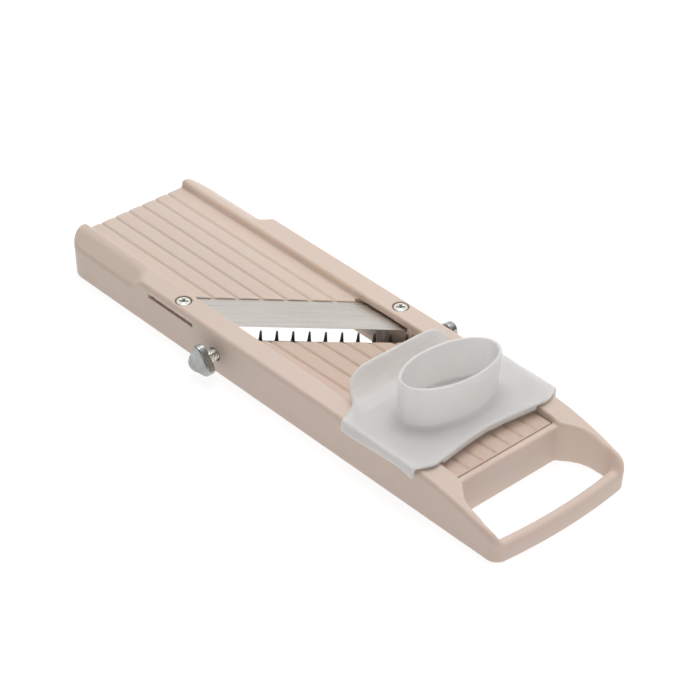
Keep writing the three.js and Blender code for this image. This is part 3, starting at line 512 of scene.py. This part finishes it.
# ------------------------------------------------------------------ materials
def material(name, build):
    m = bpy.data.materials.new(name); m.use_nodes = True
    nt = m.node_tree; nt.nodes.clear()
    out = nt.nodes.new("ShaderNodeOutputMaterial")
    bs = nt.nodes.new("ShaderNodeBsdfPrincipled")
    nt.links.new(bs.outputs[0], out.inputs[0])
    co = nt.nodes.new("ShaderNodeTexCoord")
    build(nt, bs, co.outputs["Object"])
    return m
def noise(nt, vec, scale, detail=3.0, rough=0.5, stretch=None):
    if stretch:
        mp = nt.nodes.new("ShaderNodeMapping"); mp.inputs["Scale"].default_value = stretch[:3]
        if len(stretch) > 3:
            turn = nt.nodes.new("ShaderNodeVectorRotate"); turn.rotation_type = "Z_AXIS"; turn.inputs["Angle"].default_value = -stretch[3]
            nt.links.new(vec, turn.inputs["Vector"]); vec = turn.outputs[0]
        nt.links.new(vec, mp.inputs[0]); vec = mp.outputs[0]
    n = nt.nodes.new("ShaderNodeTexNoise"); n.inputs["Scale"].default_value = scale
    n.inputs["Detail"].default_value = detail; n.inputs["Roughness"].default_value = rough
    nt.links.new(vec, n.inputs["Vector"])
    return n.outputs["Fac"]
def ramp(nt, fac, stops):
    r = nt.nodes.new("ShaderNodeValToRGB")
    while len(r.color_ramp.elements) < len(stops): r.color_ramp.elements.new(0.5)
    for e_, (p, c) in zip(r.color_ramp.elements, stops):
        e_.position = p; e_.color = (*c, 1) if not isinstance(c, (int, float)) else (c, c, c, 1)
    nt.links.new(fac, r.inputs[0])
    return r.outputs[0]
def bump(nt, bs, height, strength, dist, below=None):
    b = nt.nodes.new("ShaderNodeBump"); b.inputs["Strength"].default_value = strength; b.inputs["Distance"].default_value = dist
    nt.links.new(height, b.inputs["Height"])
    if below is not None: nt.links.new(below, b.inputs["Normal"])
    nt.links.new(b.outputs[0], bs.inputs["Normal"])
    return b.outputs[0]
def lin(c):
    return tuple((v / 255 / 12.92) if v / 255 <= 0.04045 else ((v / 255 + 0.055) / 1.055) ** 2.4 for v in c)

def plastic(base, dark, pink):
    def build(nt, bs, vec):
        big = noise(nt, vec, 9, 2, 0.5)
        c = ramp(nt, big, [(0.35, dark), (0.5, base), (0.68, pink)])
        nt.links.new(c, bs.inputs["Base Color"])
        nt.links.new(ramp(nt, noise(nt, vec, 60, 4, 0.6), [(0.3, 0.40), (0.7, 0.52)]), bs.inputs["Roughness"])
        n1 = bump(nt, bs, noise(nt, vec, 2600, 2, 0.5), 0.10, 0.00006)
        bump(nt, bs, noise(nt, vec, 75, 2, 0.5), 0.12, 0.0004, n1)
        bs.inputs["IOR"].default_value = 1.49
        bs.inputs["Subsurface Weight"].default_value = 0.35
        bs.inputs["Subsurface Radius"].default_value = (1.0, 0.62, 0.40)
        bs.inputs["Subsurface Scale"].default_value = 0.0035
    return build
def guard_mat(nt, bs, vec):
    nt.links.new(ramp(nt, noise(nt, vec, 14, 2, 0.5), [(0.3, lin((252, 250, 248))), (0.7, lin((255, 253, 251)))]), bs.inputs["Base Color"])
    nt.links.new(ramp(nt, noise(nt, vec, 120, 3, 0.6), [(0.3, 0.52), (0.7, 0.62)]), bs.inputs["Roughness"])
    bump(nt, bs, noise(nt, vec, 1500, 2, 0.5), 0.12, 0.00008)
    bs.inputs["IOR"].default_value = 1.45
    bs.inputs["Transmission Weight"].default_value = 0.30
    bs.inputs["Subsurface Weight"].default_value = 0.75
    bs.inputs["Subsurface Radius"].default_value = (1.0, 1.0, 0.95)
    bs.inputs["Subsurface Scale"].default_value = 0.010
def brushed(base, rough, angle, scratch=0.25):
    def build(nt, bs, vec):
        f1 = noise(nt, vec, 900, 3, 0.6, (0.03, 1.0, 1.0, angle))
        f2 = noise(nt, vec, 35, 3, 0.6)
        mixc = ramp(nt, f1, [(0.3, tuple(v * 0.94 for v in base)), (0.7, base)])
        nt.links.new(mixc, bs.inputs["Base Color"])
        m = nt.nodes.new("ShaderNodeMath"); m.operation = "ADD"
        nt.links.new(ramp(nt, f1, [(0.3, rough - 0.05), (0.7, rough + 0.07)]), m.inputs[0])
        nt.links.new(ramp(nt, f2, [(0.35, 0.0), (0.7, 0.06)]), m.inputs[1])
        nt.links.new(m.outputs[0], bs.inputs["Roughness"])
        bs.inputs["Metallic"].default_value = 1.0
        bump(nt, bs, f1, scratch, 0.00003)
    return build
def plated(base, rough):
    def build(nt, bs, vec):
        nt.links.new(ramp(nt, noise(nt, vec, 220, 3, 0.6), [(0.35, tuple(v * 0.93 for v in base)), (0.65, base)]), bs.inputs["Base Color"])
        nt.links.new(ramp(nt, noise(nt, vec, 500, 3, 0.6), [(0.3, rough * 0.7), (0.7, rough * 1.4)]), bs.inputs["Roughness"])
        bs.inputs["Metallic"].default_value = 1.0
        bump(nt, bs, noise(nt, vec, 700, 2, 0.5), 0.08, 0.00004)
    return build
def cast(nt, bs, vec):
    geo = nt.nodes.new("ShaderNodeNewGeometry")
    sep = nt.nodes.new("ShaderNodeSeparateXYZ"); nt.links.new(geo.outputs["True Normal"], sep.inputs[0])
    ab = nt.nodes.new("ShaderNodeMath"); ab.operation = "ABSOLUTE"; nt.links.new(sep.outputs[1], ab.inputs[0])
    grain = noise(nt, vec, 900, 4, 0.7)
    nt.links.new(ramp(nt, noise(nt, vec, 260, 4, 0.65), [(0.3, lin((158, 160, 158))), (0.7, lin((190, 191, 189)))]), bs.inputs["Base Color"])
    mul = nt.nodes.new("ShaderNodeMath"); mul.operation = "MULTIPLY_ADD"
    nt.links.new(ramp(nt, ab.outputs[0], [(0.75, 0.16), (0.97, 0.46)]), mul.inputs[0]); mul.inputs[1].default_value = 1.0
    nt.links.new(ramp(nt, grain, [(0.3, 0.0), (0.7, 0.08)]), mul.inputs[2])
    nt.links.new(mul.outputs[0], bs.inputs["Roughness"])
    bs.inputs["Metallic"].default_value = 1.0
    bump(nt, bs, grain, 0.3, 0.00008)

MATS = {
    "body_plastic": material("body_plastic_look", plastic(lin((211, 193, 181)), lin((209, 191, 178)), lin((213, 193, 182)))),
    "plate_plastic": material("plate_plastic_look", plastic(lin((204, 182, 167)), lin((200, 178, 162)), lin((206, 182, 169)))),
    "guard_plastic": material("guard_plastic_look", guard_mat),
    "blade_steel": material("blade_steel_look", brushed(lin((199, 194, 188)), 0.27, 0.825, 0.16)),
    "comb_steel": material("comb_steel_look", brushed(lin((120, 114, 108)), 0.32, 0.825, 0.3)),
    "bright_steel": material("bright_steel_look", plated(lin((232, 232, 226)), 0.15)),
    "cast_metal": material("cast_metal_look", cast),
    "brass": material("brass_look", plated(lin((196, 164, 96)), 0.26)),
}
SLOT_OF = {s_["node"]: s_["material_slot"] for s_ in frame["record"]["subparts"]}
for node, ob in frame["nodes"].items():
    ob.data.materials.clear(); ob.data.materials.append(MATS[SLOT_OF[node]])
for ob in bpy.context.scene.objects:
    if ob.type == "MESH" and "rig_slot" in ob and ob["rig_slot"] in MATS and ob.name not in frame["nodes"]:
        ob.data.materials.clear(); ob.data.materials.append(MATS[ob["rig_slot"]])

# ------------------------------------------------------------------ floor, light, camera
floor = bpy.data.meshes.new("floor_sheet")
floor.from_pydata([(-6, -6, -0.0003), (6, -6, -0.0003), (6, 6, -0.0003), (-6, 6, -0.0003)], [], [(0, 1, 2, 3)])
floor_ob = bpy.data.objects.new("floor_sheet", floor); bpy.context.scene.collection.objects.link(floor_ob)
# painted light: a floor patch that glows brighter than the rest of the floor, so the floor seen through the throat
# reads white
def throat_painted_glow_mat(nt, bs, vec):
    bs.inputs["Base Color"].default_value = (0.22, 0.22, 0.22, 1); bs.inputs["Roughness"].default_value = 1.0
    bs.inputs["Specular IOR Level"].default_value = 0.0
    bs.inputs["Emission Color"].default_value = (1, 1, 1, 1); bs.inputs["Emission Strength"].default_value = 1.0
def floor_mat(nt, bs, vec):
    bs.inputs["Base Color"].default_value = (0.22, 0.22, 0.22, 1); bs.inputs["Roughness"].default_value = 1.0
    bs.inputs["Specular IOR Level"].default_value = 0.0
    bs.inputs["Emission Color"].default_value = (1, 1, 1, 1); bs.inputs["Emission Strength"].default_value = 0.86
floor.materials.append(material("floor_pale", floor_mat))
# the floor under the moulding gets dark sheets of painted shadow where the slicer's shade falls, apart from the strip
# seen through the throat
def shade(name, pts, mat=None):
    me = bpy.data.meshes.new(name)
    me.from_pydata([((x_ - SX) / 1000, (y_ - SY) / 1000, -0.0002) for x_, y_ in pts], [], [tuple(range(len(pts)))])
    ob = bpy.data.objects.new(name, me); bpy.context.scene.collection.objects.link(ob)
    me.materials.append(mat or SHADE)
# dark matte sheet of painted shadow, laid on the floor under the slicer
def shade_mat(nt, bs, vec):
    bs.inputs["Base Color"].default_value = (0.16, 0.14, 0.125, 1); bs.inputs["Roughness"].default_value = 1.0
    bs.inputs["Specular IOR Level"].default_value = 0.0
SHADE = material("floor_shade", shade_mat)
shade("floor_shade_head", [(17, 5), (58 + DIAG * 5, 5), (58 + DIAG * 87, 87), (17, 87), (6, 76), (6, 16)])
shade("floor_throat_painted_glow", [(58 + DIAG * 5, 5), (83 + DIAG * 5, 5), (83 + DIAG * 87, 87), (58 + DIAG * 87, 87)], material("floor_throat", throat_painted_glow_mat))
shade("floor_shade_tail", [(83 + DIAG * 5, 5), (250, 5), (250, 87), (83 + DIAG * 87, 87)])

# soft tent: brighter above and behind, dimmer towards the front
world = bpy.data.worlds.new("studio"); bpy.context.scene.world = world; world.use_nodes = True
wn = world.node_tree; bg = wn.nodes["Background"]
tc = wn.nodes.new("ShaderNodeTexCoord"); dot = wn.nodes.new("ShaderNodeVectorMath"); dot.operation = "DOT_PRODUCT"
dot.inputs[1].default_value = (-0.503, 0.503, 0.704)
wn.links.new(tc.outputs["Generated"], dot.inputs[0])
mr = wn.nodes.new("ShaderNodeMapRange"); mr.interpolation_type = "SMOOTHSTEP"
mr.inputs["From Min"].default_value = 0.05; mr.inputs["From Max"].default_value = 0.95
mr.inputs["To Min"].default_value = 0.19; mr.inputs["To Max"].default_value = 0.98
wn.links.new(dot.outputs["Value"], mr.inputs["Value"])
wn.links.new(mr.outputs["Result"], bg.inputs[1])
tint = wn.nodes.new("ShaderNodeMapRange"); tint.inputs["From Min"].default_value = 0.2; tint.inputs["From Max"].default_value = 0.6
wn.links.new(mr.outputs["Result"], tint.inputs["Value"])
warm = wn.nodes.new("ShaderNodeValToRGB"); warm.color_ramp.elements[0].color = (1.0, 0.97, 0.84, 1); warm.color_ramp.elements[1].color = (1, 1, 1, 1)
wn.links.new(tint.outputs["Result"], warm.inputs[0]); wn.links.new(warm.outputs[0], bg.inputs[0])
def area(name, loc, target, size, power, colour=(1, 1, 1)):
    l = bpy.data.lights.new(name, "AREA"); l.shape = "DISK"; l.size = size; l.energy = power; l.color = colour
    o = bpy.data.objects.new(name, l); bpy.context.scene.collection.objects.link(o)
    o.location = loc
    o.rotation_euler = (Vector(target) - Vector(loc)).to_track_quat("-Z", "Y").to_euler()
    return o
area("top_soft", (-0.15, 0.25, 1.5), (0, 0, 0), 1.1, 10)
area("right_fill", (1.5, -0.1, 0.7), (0, 0, 0), 0.9, 3.5, (0.95, 0.98, 1.0))

az, el, roll, F_PX = math.radians(45.661), math.radians(35.858), math.radians(2.290), 2378.34
fw = Vector((-math.sin(az) * math.cos(el), math.cos(az) * math.cos(el), -math.sin(el)))
r_ = fw.cross(Vector((0, 0, 1))).normalized(); u_ = r_.cross(fw)
r2 = math.cos(roll) * r_ + math.sin(roll) * u_; u2 = -math.sin(roll) * r_ + math.cos(roll) * u_
strip = bpy.data.lights.new("wall_strip", "AREA"); strip.shape = "RECTANGLE"; strip.size = 0.18; strip.size_y = 0.006; strip.energy = 0.0022; strip.spread = math.radians(22)
strip.color = (1.0, 0.95, 0.88)
strip_ob = bpy.data.objects.new("wall_strip", strip); bpy.context.scene.collection.objects.link(strip_ob)
strip_ob.location = (-0.062, -0.040, 0.046)
strip_ob.rotation_euler = (Vector((-0.062, 0.0325, 0.024)) - strip_ob.location).to_track_quat("-Z", "Y").to_euler()
strip2 = bpy.data.lights.new("arm_strip", "AREA"); strip2.shape = "RECTANGLE"; strip2.size = 0.03; strip2.size_y = 0.006
strip2.energy = 0.0004; strip2.spread = math.radians(26); strip2.color = (1.0, 0.96, 0.90)
strip2_ob = bpy.data.objects.new("arm_strip", strip2); bpy.context.scene.collection.objects.link(strip2_ob)
strip2_ob.location = (0.142, -0.043, 0.046)
strip2_ob.rotation_euler = (Vector((0.130, 0.039, 0.012)) - strip2_ob.location).to_track_quat("-Z", "Y").to_euler()
cam = bpy.data.cameras.new("camera"); cam.sensor_width = 36; cam.lens = F_PX / 700 * 36; cam.clip_start = 0.05; cam.clip_end = 50
cam_ob = bpy.data.objects.new("camera", cam); bpy.context.scene.collection.objects.link(cam_ob)
M = Matrix((r2, u2, -fw)).transposed().to_4x4()
M.translation = Vector(((845.532 - SX) / 1000, (-615.320 - SY) / 1000, 703.931 / 1000))
cam_ob.matrix_world = M
bpy.context.scene.camera = cam_ob
bpy.context.scene.view_settings.view_transform = "Standard"
